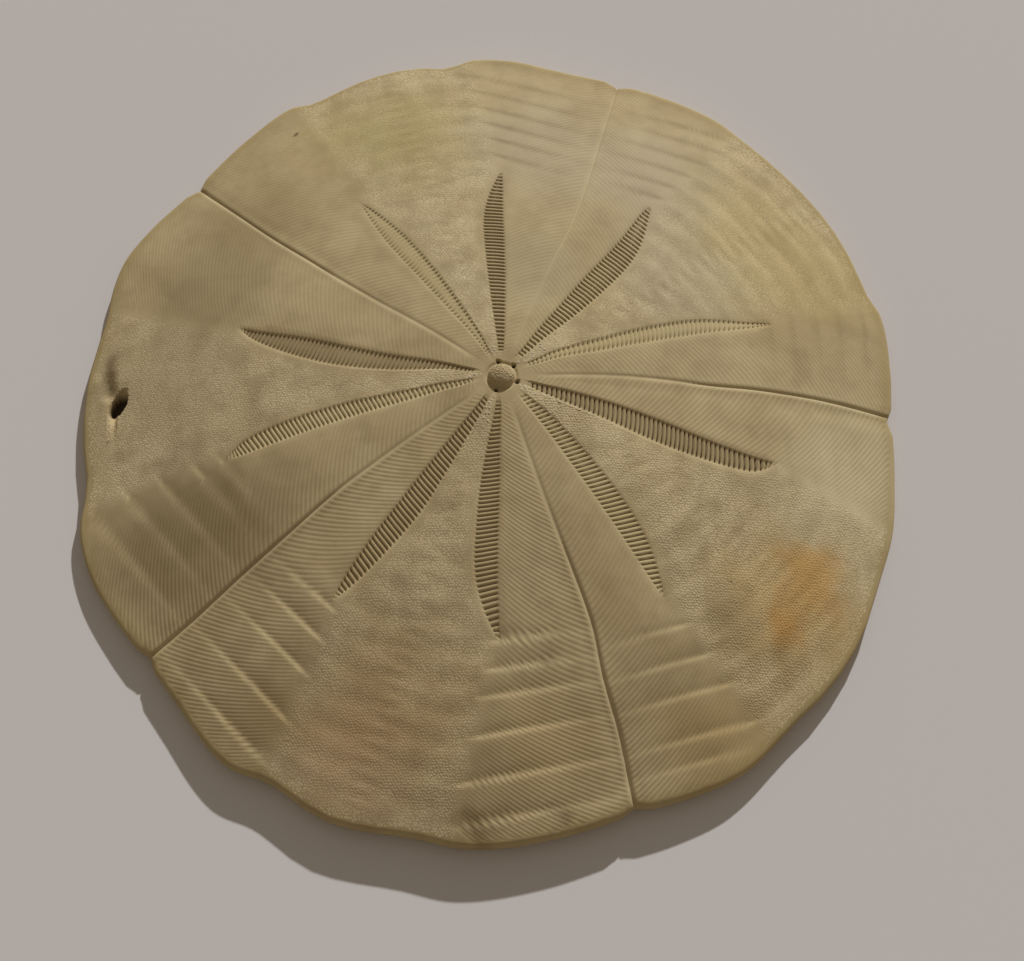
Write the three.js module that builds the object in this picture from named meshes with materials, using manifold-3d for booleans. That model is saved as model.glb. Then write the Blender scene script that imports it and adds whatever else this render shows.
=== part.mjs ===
// A dried sand dollar of the cake urchin kind: a low domed disc of pale calcite with a thin edge.
// Millimetres, +Z up, resting on its flat underside at z = 0. +X is the animal's front, +Y its left side.
// Bearings are degrees turned from the front towards the left side, about the button at the top.
// The origin is the middle of the bounding box, on the surface that the shell lies on.

import * as THREE from "three";
import Module from "manifold-3d";
import { mergeVertices } from "three/addons/utils/BufferGeometryUtils.js";

// Driving dimensions of the disc
const apexHeight = 8.6;
const edgeAtEnds = 1.3;
const edgeAtSides = 2.2;
const coneShare = 0.5;
const domePower = 2.2;

// The edge seen from above: bearing and distance from the button, with the notches left out
const margin = [
  [0, 38.4], [8, 39.1], [17, 40.0], [21, 39.7], [32, 40.6], [45, 41.2], [52, 41.6], [58, 42.2],
  [67, 42.2], [74, 42.1], [82, 42.4], [90, 43.5], [95, 43.7], [99, 42.9], [104, 43.6], [111, 43.6],
  [119, 43.0], [122.5, 43.7], [130, 43.0], [141, 42.1], [150, 42.7], [156, 43.0], [161, 42.5],
  [166, 41.7], [175, 41.6], [185, 41.3], [192, 41.1], [198, 42.4], [205, 42.7], [213, 42.2],
  [219, 41.9], [226, 42.3], [236, 43.7], [242, 43.0], [250, 43.9], [260, 43.3], [267, 43.7],
  [277, 42.9], [287, 42.1], [294, 42.4], [301, 42.6], [310, 41.6], [316, 41.5], [325, 40.9],
  [333, 39.9], [341, 39.5], [350, 38.7],
];
const notchDepth = 0.5;
const notchHalfWidth = 1.5;

// Furrows, petal strips and ledges, one set for each of the five ambulacra.
// Furrow bearings are read at furrowStations, strip edges at stripStations, both distances from the button.
const furrowStations = [5, 10, 15, 20, 25, 30, 35, 41];
const stripStations = [5, 10, 15, 20, 25];
const ambulacra = [
  {
    name: "front",
    furrow: [5.8, 5.4, 3.8, 2.4, 2.1, 1.6, 0.6, -0.8],
    before: {
      inner: [-11.2, -11.7, -13.5, -15.2, -15.4], outer: [-20.4, -20.7, -21.3, -20.5, -18.4],
      tip: [-14.6, 26.3], edge: -17.7, ledges: [28.2, 30.7, 33.1, 35.1], relief: 0.3,
    },
    after: {
      inner: [26.1, 21.8, 20.1, 19, 18.1], outer: [32.5, 27.8, 25.5, 23.1, 19.6],
      tip: [18, 27.2], edge: 17.4, ledges: [27.4, 29.7, 32.3, 34.6, 37.1], relief: 0.45,
    },
  },
  {
    name: "left_front",
    furrow: [72.1, 72, 71.3, 70.7, 71.2, 72.1, 72.8, 73.4],
    before: {
      inner: [58.7, 57.2, 56.6, 55.8, 56.4], outer: [50.4, 47.7, 47.9, 49.7, 54.6],
      tip: [56.1, 25.8], edge: 54.8, ledges: [27.7, 29.7, 32, 34.4, 36.8, 39], relief: 0.5,
    },
    after: {
      inner: [90, 90, 90.5, 91, 91], outer: [97.3, 97.2, 96.9, 95.9, 92],
      tip: [91, 25.3], edge: 95.1, ledges: [27.3, 29.6, 31.7, 33.9, 36.3, 38.7], relief: 0.5,
    },
  },
  {
    name: "left_back",
    furrow: [140.7, 141.8, 143, 143.1, 142.6, 142.3, 141.7, 141],
    before: {
      inner: [120.5, 123.4, 124.8, 125.3, 124.4], outer: [114.7, 117.1, 118.7, 120.4, 122.9],
      tip: [123.9, 25.8], edge: 122.4, ledges: [28.5, 31.4, 34.9, 38.2], relief: 0.15,
    },
    after: {
      inner: [162.9, 165, 165, 164.5, 164.7], outer: [167.8, 172, 172.2, 169.9, 166.7],
      tip: [164.3, 26.4], edge: 163, ledges: [28.5, 31.4, 34.9, 38.2], relief: 0.15,
    },
  },
  {
    name: "right_back",
    furrow: [213.7, 214.9, 215.6, 216.3, 217.4, 218.1, 218.8, 219],
    before: {
      inner: [190.9, 193, 193.7, 194.5, 195.1], outer: [184.8, 187.5, 188.4, 189.9, 192.2],
      tip: [195.4, 26.5], edge: 197, ledges: [26.5, 28.9, 31.7, 34.8, 38.2], relief: 1,
    },
    after: {
      inner: [232.9, 233, 233.3, 233.6, 234.4], outer: [241.1, 241.4, 241, 238.7, 236],
      tip: [235, 25.7], edge: 240.2, ledges: [27.3, 29.9, 32.9, 36.8, 40.6], relief: 1,
    },
  },
  {
    name: "right_front",
    furrow: [287.9, 288.3, 288.7, 289.3, 289.4, 288.2, 287.9, 287],
    before: {
      inner: [266.9, 268.4, 268.7, 269, 269.8], outer: [259.7, 260.2, 261.8, 263.9, 269],
      tip: [270, 24.8], edge: 265, ledges: [25.6, 28.1, 30.4, 33.6, 37.3, 40.8], relief: 1,
    },
    after: {
      inner: [309.8, 307.8, 306.7, 306, 305.2], outer: [319.5, 316.3, 313.7, 310.8, 306.5],
      tip: [305.2, 25.1], edge: 304.9, ledges: [27.5, 30.6, 34.4, 38.2, 40.4], relief: 0.9,
    },
  },
];
const furrowDepth = 0.24;
const furrowHalfWidth = 0.36;
const furrowStart = 2.6;
const ledgeRise = 0.28;
const ledgeHalfStep = 0.24;
const plateHighShare = 0.35;
const firstPlateLength = 2.6;
const lastPlateLength = 3.2;
const ledgeRows = 6;
const ledgeRowGap = 0.25;
const stripEndShare = 0.3;
const tipClearance = 0.6;

// Petal strips: a shallow trough crossed by slits, drawn here at about three times the real spacing
const troughDepth = 0.14;
const slitDepth = 0.5;
const stripStart = 3.4;
const stripEnd = 24.8;
const stripRunOut = 0.35;
const slitsPerStrip = 15;
const floorShares = [0.25, 0.75];
const stripLipWidth = 0.16;
const smallestReach = 1.2;
const combShares = [0.25, 0.55];
const ledgeShares = { outerLip: 0.6, innerLip: 1, comb: [0.9, 0.7], besideNotch: 0.3, furrowLip: 0.1 };

// The button, the pits round it and the vent near the back edge
const buttonRadius = 1.35;
const buttonRise = 0.4;
const buttonCurve = [[0.45, 0.94], [0.85, 0.74], [1.15, 0.42]];
const moatDepth = 0.16;
const moatWidth = 0.3;
const buttonGround = 2.4;
const gonopores = [40, 107, 250, 332];
const gonoporeRing = 1.75;
const gonoporeRadius = 0.24;
const gonoporeDepth = 0.7;
const ventDistance = 37.9;
const ventRadius = 0.92;
const ventDepth = 1.35;
const ventBearing = 180;
const pitFlare = 1.3;
const pitFloor = 0.6;
const pitHeadroom = 1;
const ventSides = 14;
const gonoporeSides = 8;

// The edge and the underside
const shoulderInset = 0.5;
const upperEdge = { inset: 0.1, height: 0.78 };
const widestHeight = 0.5;
const heelInset = 0.55;
const heelRise = 0.16;
const restOuterInset = 1.1;
const restInnerInset = 5;
const undersideHollow = 0.7;
const mouthRadius = 2.3;
const mouthDepth = 2.6;
const mouthFloor = { radius: 0.6, depth: 0.8 };
const foodGrooveDepth = 0.3;
const undersideRings = [0.86, 0.62, 0.38, 0.18];

// Where an edge is looked for, and how often the search is repeated
const typicalEdge = 42;
const edgeSearches = 6;

const radians = THREE.MathUtils.degToRad;

// Smooth curve through [x, y] pairs: cubic pieces whose slope at a point is that of its two neighbours' chord
function through(points, x) {
  const last = points.length - 1;
  if (x <= points[0][0]) return points[0][1];
  if (x >= points[last][0]) return points[last][1];
  let i = 0;
  while (points[i + 1][0] < x) i += 1;
  const slope = (k) => {
    const a = points[Math.max(k - 1, 0)];
    const b = points[Math.min(k + 1, last)];
    return (b[1] - a[1]) / (b[0] - a[0]);
  };
  const span = points[i + 1][0] - points[i][0];
  const t = (x - points[i][0]) / span;
  const ease = t * t * (3 - 2 * t);
  const leave = slope(i) * span * t * (1 - t) * (1 - t);
  const arrive = slope(i + 1) * span * t * t * (1 - t);
  return points[i][1] * (1 - ease) + points[i + 1][1] * ease + leave - arrive;
}

const marginLoop = [
  ...margin.slice(-3).map(([bearing, r]) => [bearing - 360, r]),
  ...margin,
  ...margin.slice(0, 3).map(([bearing, r]) => [bearing + 360, r]),
];

const stationed = (stations, bearings) => stations.map((r, i) => [r, bearings[i]]);

function furrowBearing(ambulacrum, r) {
  return through(stationed(furrowStations, ambulacrum.furrow), r);
}

// The edge's distance from the button, with a small V notch where each furrow crosses it
function edgeRadius(bearing) {
  const turned = ((bearing % 360) + 360) % 360;
  const plain = through(marginLoop, turned);
  let notch = 0;
  for (const ambulacrum of ambulacra) {
    const away = THREE.MathUtils.euclideanModulo(turned - ambulacrum.furrow.at(-1) + 180, 360) - 180;
    const along = Math.abs(radians(away)) * plain;
    notch += notchDepth * Math.max(0, 1 - along / notchHalfWidth);
  }
  return plain - notch;
}

function edgeThickness(bearing) {
  const side = Math.sin(radians(bearing));
  return edgeAtEnds + (edgeAtSides - edgeAtEnds) * side * side;
}

// The plain dome: half a cone and half a steepening curve, from the top down to the edge
function domeHeight(r, bearing) {
  const edge = edgeRadius(bearing) - shoulderInset;
  const u = Math.min(r / edge, 1);
  const fall = coneShare * u + (1 - coneShare) * u ** domePower;
  return apexHeight - (apexHeight - edgeThickness(bearing)) * fall;
}

// A strip's inner and outer edge past its tip run on to the margin, to either side of the comb's outer border
function stripBearing(ambulacrum, half, side, r) {
  const [tipBearing, tipRadius] = half.tip;
  if (r <= tipRadius) {
    const inPetal = ([at]) => at < tipRadius - tipClearance;
    const stations = [...stationed(stripStations, half[side])].filter(inPetal);
    return through([...stations, [tipRadius, tipBearing]], r);
  }
  const furrow = ambulacrum.furrow.at(-1);
  const atMargin = side === "outer" ? half.edge : half.edge + stripEndShare * (furrow - half.edge);
  const share = (r - tipRadius) / (edgeRadius(half.edge) - tipRadius);
  return tipBearing + (atMargin - tipBearing) * share;
}

// Depth of the ledges: each plate slopes down outwards to a seam, and the next plate's lip stands up past it
function ledgeRelief(half, r, share) {
  const stops = [half.ledges[0] - firstPlateLength, ...half.ledges];
  let i = stops.length - 1;
  while (i > 0 && r < stops[i]) i -= 1;
  const next = stops[i + 1] ?? stops[i] + lastPlateLength;
  const along = THREE.MathUtils.clamp((r - stops[i]) / (next - stops[i]), 0, 1);
  const fade = i === 0 ? along : 1;
  return ledgeRise * half.relief * fade * share * (plateHighShare - along);
}

// The turn, in degrees, that a width takes up at a distance from the button
function turnOf(width, r) {
  return THREE.MathUtils.radToDeg(width / Math.max(r, smallestReach));
}

// Columns of the mesh, in order of bearing. Each gives its bearing at a radius and its share in each relief.
function columnsOf(ambulacrum, next) {
  const columns = [];
  const furrowLip = (side) => (r) => {
    return furrowBearing(ambulacrum, r) + side * turnOf(furrowHalfWidth, r);
  };
  const stripEdge = (half, side, sign) => (r) => {
    return stripBearing(ambulacrum, half, side, r) + sign * turnOf(stripLipWidth, r);
  };
  const between = (a, b, share) => (r) => a(r) * (1 - share) + b(r) * share;
  const besideNotch = (side) => (r) => {
    return furrowBearing(ambulacrum, r) + side * turnOf(notchHalfWidth, r);
  };
  const add = (kind, bearing, half, ledgeShare, zone) => {
    columns.push({ kind, bearing, half, ledgeShare, zone });
  };

  const { before, after } = ambulacrum;
  const beforeOuter = stripEdge(before, "outer", -1);
  const beforeInner = stripEdge(before, "inner", 1);
  const afterInner = stripEdge(after, "inner", -1);
  const afterOuter = stripEdge(after, "outer", 1);
  const [combNear, combFar] = combShares;
  const [steep, middling] = ledgeShares.comb;
  add("outerLip", beforeOuter, before, ledgeShares.outerLip, "whole");
  add("floor", between(beforeOuter, beforeInner, floorShares[0]), before, 0, "strips");
  add("floor", between(beforeOuter, beforeInner, floorShares[1]), before, 0, "strips");
  add("innerLip", beforeInner, before, ledgeShares.innerLip, "whole");
  add("comb", between(beforeInner, furrowLip(-1), combNear), before, steep, "border");
  add("comb", between(beforeInner, furrowLip(-1), combFar), before, middling, "top");
  add("comb", besideNotch(-1), before, ledgeShares.besideNotch, "border");
  add("furrowLip", furrowLip(-1), before, ledgeShares.furrowLip, "whole");
  add("furrow", (r) => furrowBearing(ambulacrum, r), before, 0, "whole");
  add("furrowLip", furrowLip(1), after, ledgeShares.furrowLip, "whole");
  add("comb", besideNotch(1), after, ledgeShares.besideNotch, "border");
  add("comb", between(afterInner, furrowLip(1), combFar), after, middling, "top");
  add("comb", between(afterInner, furrowLip(1), combNear), after, steep, "border");
  add("innerLip", afterInner, after, ledgeShares.innerLip, "whole");
  add("floor", between(afterInner, afterOuter, floorShares[0]), after, 0, "strips");
  add("floor", between(afterInner, afterOuter, floorShares[1]), after, 0, "strips");
  add("outerLip", afterOuter, after, ledgeShares.outerLip, "whole");

  const nextOuter = (r) => {
    const border = stripBearing(next.ambulacrum, next.ambulacrum.before, "outer", r);
    return border + next.turn - turnOf(stripLipWidth, r);
  };
  const plainZones = ["border", "top", "border", "whole", "border", "top", "border"];
  plainZones.forEach((zone, i) => {
    const share = (i + 1) / (plainZones.length + 1);
    add("plain", between(afterOuter, nextOuter, share), null, 0, zone);
  });
  return columns;
}

const columns = ambulacra.flatMap((ambulacrum, i) => {
  const wraps = i === ambulacra.length - 1;
  const following = ambulacra[(i + 1) % ambulacra.length];
  return columnsOf(ambulacrum, { ambulacrum: following, turn: wraps ? 360 : 0 });
});

// The radii of one column's rows past the strips: two rows at each ledge, or evenly spaced rows
function outerRadii(column, edge) {
  const end = edge - shoulderInset;
  const rows = [];
  if (column.half && column.ledgeShare > 0) {
    const stops = [...column.half.ledges];
    while (stops.length < ledgeRows) {
      const gaps = ledgeRows + 1 - stops.length;
      stops.push(stops.at(-1) + (end - stops.at(-1)) / gaps);
    }
    for (const stop of stops) rows.push(stop - ledgeHalfStep, stop + ledgeHalfStep);
    return rows.map((r, i) => Math.min(r, end - ledgeRowGap * (rows.length - i)));
  }
  const count = 2 * ledgeRows;
  const start = stripEnd + stripRunOut;
  for (let i = 1; i <= count; i += 1) rows.push(start + ((end - start) * i) / (count + 1));
  return rows;
}

// A column's edge is found where its own line meets the margin
function edgeOf(column) {
  let r = typicalEdge;
  for (let i = 0; i < edgeSearches; i += 1) r = edgeRadius(column.bearing(r));
  return r;
}

function topHeight(column, r, deepRow) {
  const bearing = column.bearing(r);
  let z = domeHeight(r, bearing);
  if (column.kind === "furrow" && r > furrowStart) z -= furrowDepth;
  if (column.kind === "floor" && r < stripEnd) z -= deepRow ? slitDepth : troughDepth;
  if (column.half && r > stripEnd) z += ledgeRelief(column.half, r, column.ledgeShare);
  return z;
}

const vertices = [];
function addVertex(r, bearing, z) {
  vertices.push(r * Math.cos(radians(bearing)), r * Math.sin(radians(bearing)), z);
  return vertices.length / 3 - 1;
}

// Rings of vertices from the button outwards, round the edge and in again to the mouth
const rings = [];
const wholeColumns = columns.filter(({ zone }) => zone === "whole");
const topColumns = columns.filter(({ zone }) => zone === "whole" || zone === "top");
const stripColumns = columns.filter(({ zone }) => zone !== "border");
const borderColumns = columns.filter(({ zone }) => zone !== "strips");

function addRing(set, place) {
  rings.push(set.map((column) => ({ column, index: addVertex(...place(column)) })));
}

function addButton() {
  const profile = [
    ...buttonCurve.map(([r, share]) => [r, buttonRise * share]),
    [buttonRadius, -moatDepth], [buttonRadius + moatWidth, 0], [buttonGround, 0],
  ];
  for (const [r, rise] of profile) {
    addRing(wholeColumns, (column) => {
      const bearing = column.bearing(r);
      return [r, bearing, domeHeight(r, bearing) + rise];
    });
  }
}

function addStripRows() {
  const rows = 2 * slitsPerStrip + 1;
  for (let i = 0; i < rows; i += 1) {
    const r = stripStart + ((stripEnd - stripStart) * i) / (rows - 1);
    addRing(stripColumns, (column) => [r, column.bearing(r), topHeight(column, r, i % 2 === 1)]);
  }
  const past = stripEnd + stripRunOut;
  addRing(topColumns, (column) => [past, column.bearing(past), topHeight(column, past, false)]);
}

function addOuterRows() {
  const radii = new Map(borderColumns.map((column) => [column, outerRadii(column, edgeOf(column))]));
  for (let i = 0; i < 2 * ledgeRows; i += 1) {
    addRing(borderColumns, (column) => {
      const r = radii.get(column)[i];
      return [r, column.bearing(r), topHeight(column, r, false)];
    });
  }
}

function addEdge() {
  const notchCut = (column) => (column.kind === "furrow" ? furrowDepth : 0);
  const ring = (set, inset, height) => addRing(set, (column) => {
    const r = edgeOf(column) - inset;
    const bearing = column.bearing(r);
    return [r, bearing, height(column, edgeThickness(bearing))];
  });
  ring(borderColumns, shoulderInset, (column, thick) => thick - notchCut(column));
  const upper = (column, thick) => upperEdge.height * thick - notchCut(column);
  ring(borderColumns, upperEdge.inset, upper);
  ring(borderColumns, 0, (column, thick) => widestHeight * thick);
  ring(borderColumns, heelInset, (column) => heelRise + notchCut(column));
  ring(wholeColumns, restOuterInset, (column) => (column.kind === "furrow" ? foodGrooveDepth : 0));
  ring(wholeColumns, restInnerInset, (column) => (column.kind === "furrow" ? foodGrooveDepth : 0));
}

function addUnderside() {
  for (const share of undersideRings) {
    addRing(wholeColumns, (column) => {
      const r = share * (edgeOf(column) - restInnerInset);
      const hollow = undersideHollow * (1 - share * share);
      return [r, column.bearing(r), hollow + (column.kind === "furrow" ? foodGrooveDepth : 0)];
    });
  }
  addRing(wholeColumns, (column) => [mouthRadius, column.bearing(mouthRadius), undersideHollow]);
  addRing(wholeColumns, (column) => {
    const r = mouthFloor.radius * mouthRadius;
    return [r, column.bearing(r), undersideHollow + mouthFloor.depth * mouthDepth];
  });
}

// Two neighbouring rings are joined by triangles; the points of the one with fewer columns fan out
function joinRings(inner, outer, faces) {
  const fine = inner.length >= outer.length ? inner : outer;
  const coarse = fine === inner ? outer : inner;
  const flip = fine === inner;
  const emit = (a, b, c) => faces.push(...(flip ? [a, c, b] : [a, b, c]));
  const anchors = coarse.map(({ column }) => fine.findIndex((point) => point.column === column));
  coarse.forEach((point, i) => {
    const nextPoint = coarse[(i + 1) % coarse.length];
    const from = anchors[i];
    const steps = (anchors[(i + 1) % coarse.length] - from + fine.length) % fine.length;
    const middle = Math.floor((steps + 1) / 2);
    for (let k = 0; k < steps; k += 1) {
      const a = fine[(from + k) % fine.length].index;
      const b = fine[(from + k + 1) % fine.length].index;
      emit(k < middle ? point.index : nextPoint.index, a, b);
    }
    emit(point.index, fine[(from + middle) % fine.length].index, nextPoint.index);
  });
}

function testGeometry() {
  const top = addVertex(0, 0, apexHeight + buttonRise);
  addButton();
  addStripRows();
  addOuterRows();
  addEdge();
  addUnderside();
  const mouth = addVertex(0, 0, undersideHollow + mouthDepth);
  const faces = [];
  const closeWithFan = (ring, centre, outward) => ring.forEach(({ index }, i) => {
    const other = ring[(i + 1) % ring.length].index;
    faces.push(...(outward ? [centre, index, other] : [centre, other, index]));
  });
  closeWithFan(rings[0], top, true);
  for (let i = 0; i + 1 < rings.length; i += 1) joinRings(rings[i], rings[i + 1], faces);
  closeWithFan(rings.at(-1), mouth, false);
  const geometry = new THREE.BufferGeometry();
  geometry.setAttribute("position", new THREE.Float32BufferAttribute(vertices, 3));
  geometry.setIndex(faces);
  return geometry;
}

const wasm = await Module();
wasm.setup();

function toSolid(geometry) {
  const bare = geometry.clone();
  bare.deleteAttribute("normal");
  bare.deleteAttribute("uv");
  const merged = mergeVertices(bare, 1e-4);
  return new wasm.Manifold(new wasm.Mesh({
    numProp: 3,
    vertProperties: new Float32Array(merged.attributes.position.array),
    triVerts: new Uint32Array(merged.index.array),
  }));
}

function toGeometry(solid) {
  const mesh = solid.getMesh();
  const geometry = new THREE.BufferGeometry();
  geometry.setAttribute("position", new THREE.BufferAttribute(new Float32Array(mesh.vertProperties), 3));
  geometry.setIndex(new THREE.BufferAttribute(new Uint32Array(mesh.triVerts), 1));
  return geometry;
}

// A round pit that narrows downwards, cut into the top at a bearing and a distance from the button
function pit(bearing, distance, radius, depth, sides) {
  const height = depth + pitHeadroom;
  const shape = new THREE.CylinderGeometry(radius * pitFlare, radius * pitFloor, height, sides);
  shape.rotateX(Math.PI / 2);
  const surface = domeHeight(distance, bearing);
  shape.translate(
    distance * Math.cos(radians(bearing)),
    distance * Math.sin(radians(bearing)),
    surface - depth + height / 2,
  );
  return toSolid(shape);
}

function carvedTest() {
  let solid = toSolid(testGeometry());
  solid = solid.subtract(pit(ventBearing, ventDistance, ventRadius, ventDepth, ventSides));
  for (const bearing of gonopores) {
    solid = solid.subtract(pit(bearing, gonoporeRing, gonoporeRadius, gonoporeDepth, gonoporeSides));
  }
  const geometry = toGeometry(solid);
  geometry.computeBoundingBox();
  const middle = geometry.boundingBox.getCenter(new THREE.Vector3());
  geometry.translate(-middle.x, -middle.y, 0);
  return geometry;
}

function sandDollar() {
  const calcite = new THREE.MeshStandardMaterial({ color: 0xc6b389, roughness: 0.85, metalness: 0 });
  const test = new THREE.Mesh(carvedTest(), calcite);
  test.name = "sand_dollar_test";
  const group = new THREE.Group();
  group.add(test);
  return group;
}

export default sandDollar();
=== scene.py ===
"""A dried sand dollar of the cake urchin kind, lying on a pale floor under one soft sun.

The whole shell is one closed skin, worked out with numpy on a grid that bends with the animal's own lines.
Columns follow the furrows, the petal strips and the borders of the combed areas from the button to the edge.
Rows follow the comb ridges, which are chevrons, so that a ridge or a slit always lies along a row.
Sizes are millimetres until a mesh is made. Bearings are degrees from the front (+X) towards the left (+Y).
"""
import math

import bpy
import numpy as np
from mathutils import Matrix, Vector
from mathutils.bvhtree import BVHTree


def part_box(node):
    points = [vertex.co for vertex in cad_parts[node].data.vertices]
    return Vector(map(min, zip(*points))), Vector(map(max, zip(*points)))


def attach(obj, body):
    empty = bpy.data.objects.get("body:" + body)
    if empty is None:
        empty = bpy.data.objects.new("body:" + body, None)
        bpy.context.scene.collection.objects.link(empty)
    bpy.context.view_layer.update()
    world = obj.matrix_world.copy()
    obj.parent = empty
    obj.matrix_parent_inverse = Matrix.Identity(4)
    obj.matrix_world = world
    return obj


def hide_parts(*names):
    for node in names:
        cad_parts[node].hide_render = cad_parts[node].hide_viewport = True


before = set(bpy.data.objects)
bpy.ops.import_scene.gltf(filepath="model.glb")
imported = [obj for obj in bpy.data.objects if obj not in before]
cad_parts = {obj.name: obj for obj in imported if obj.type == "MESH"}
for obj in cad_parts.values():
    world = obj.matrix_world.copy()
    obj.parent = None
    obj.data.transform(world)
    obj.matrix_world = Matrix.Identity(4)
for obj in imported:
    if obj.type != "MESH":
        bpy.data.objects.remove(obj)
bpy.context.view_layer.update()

MM = 0.001

# The disc, the same sizes as the solid that the skin stands for. The rounded edge starts at an angle from the
# vertical, and a power on its height keeps its widest line above the middle.
APEX_HEIGHT = 8.6
EDGE_AT_ENDS = 1.3
EDGE_AT_SIDES = 2.2
CONE_SHARE = 0.5
DOME_POWER = 2.2
SHOULDER_INSET = 0.5
EDGE_START = 14
EDGE_OVERHANG = 0.42
EDGE_FADE = 2.2
EDGE_GUESS = 42.0
EDGE_ROUNDS = 8

# The margin by bearing and distance from the button, without its notches
MARGIN = [
    (0, 38.4), (8, 39.1), (17, 40.0), (21, 39.7), (32, 40.6), (45, 41.2), (52, 41.6), (58, 42.2),
    (67, 42.2), (74, 42.1), (82, 42.4), (90, 43.5), (95, 43.7), (99, 42.9), (104, 43.6), (111, 43.6),
    (119, 43.0), (122.5, 43.7), (130, 43.0), (141, 42.1), (150, 42.7), (156, 43.0), (161, 42.5),
    (166, 41.7), (175, 41.6), (185, 41.3), (192, 41.1), (198, 42.4), (205, 42.7), (213, 42.2),
    (219, 41.9), (226, 42.3), (236, 43.7), (242, 43.0), (250, 43.9), (260, 43.3), (267, 43.7),
    (277, 42.9), (287, 42.1), (294, 42.4), (301, 42.6), (310, 41.6), (316, 41.5), (325, 40.9),
    (333, 39.9), (341, 39.5), (350, 38.7),
]
NOTCH_DEPTH = 0.5
NOTCH_HALF_WIDTH = 1.5

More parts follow.
